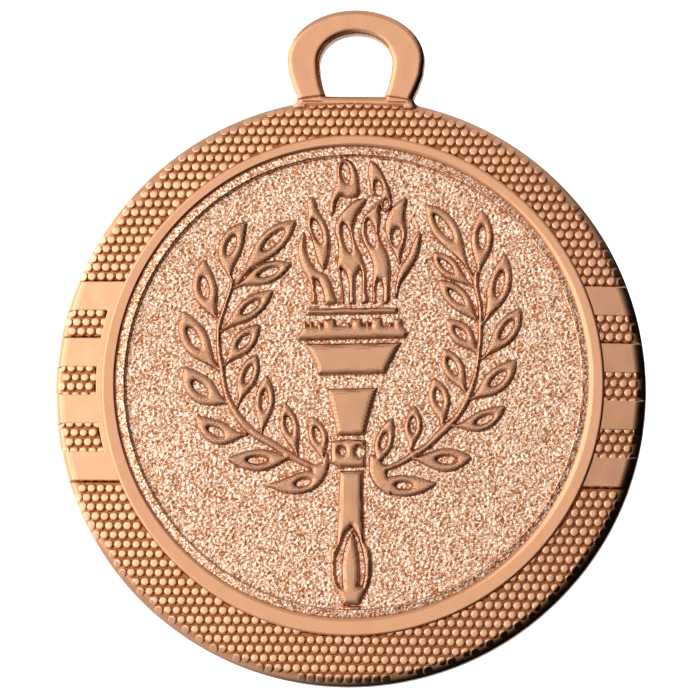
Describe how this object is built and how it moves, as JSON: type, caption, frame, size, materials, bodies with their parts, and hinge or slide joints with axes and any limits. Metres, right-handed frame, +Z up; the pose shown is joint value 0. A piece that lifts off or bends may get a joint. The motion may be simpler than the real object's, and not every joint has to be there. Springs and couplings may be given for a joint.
{
  "type": "finisher medal",
  "caption": "Round struck medal with an integral hanging loop, a pelleted rim and a torch between two laurel sprays in relief.",
  "frame": {"origin": "middle of the hanging loop's eye, halfway through the loop's thickness", "axes": "+Z up through the loop's crown, away from the disc; +Y out of the back; the struck face looks along -Y"},
  "size_m": [0.05, 0.0035, 0.0575],
  "materials": {
    "satin_bronze": "satin bronze plating",
    "frosted_bronze": "frosted, stippled bronze plating",
    "beaded_bronze": "satin bronze plating over fine pellets"
  },
  "bodies": {
    "root": {"disc_core": "frosted_bronze", "rim_band": "beaded_bronze", "smooth_ring": "satin_bronze", "field_step": "frosted_bronze", "hanging_loop": "satin_bronze", "loop_plinth": "satin_bronze", "lands_left": "satin_bronze", "lands_right": "satin_bronze", "pellets_upper": "beaded_bronze", "pellets_lower": "beaded_bronze", "pellets_left": "beaded_bronze", "pellets_right": "beaded_bronze", "torch_lip": "satin_bronze", "torch_crown": "satin_bronze", "torch_bowl": "satin_bronze", "torch_neck": "satin_bronze", "torch_collar": "satin_bronze", "torch_shaft": "satin_bronze", "torch_pommel": "satin_bronze", "torch_foot": "satin_bronze", "flame_top_left": "satin_bronze", "flame_top_right": "satin_bronze", "flame_outer_left": "satin_bronze", "flame_inner_left": "satin_bronze", "flame_centre": "satin_bronze", "flame_inner_right": "satin_bronze", "flame_upper_right": "satin_bronze", "flame_outer_right": "satin_bronze", "laurel_stem_left": "satin_bronze", "laurel_outer_left": "satin_bronze", "laurel_inner_left": "satin_bronze", "laurel_stem_right": "satin_bronze", "laurel_outer_right": "satin_bronze", "laurel_inner_right": "satin_bronze"}
  },
  "joints": []
}
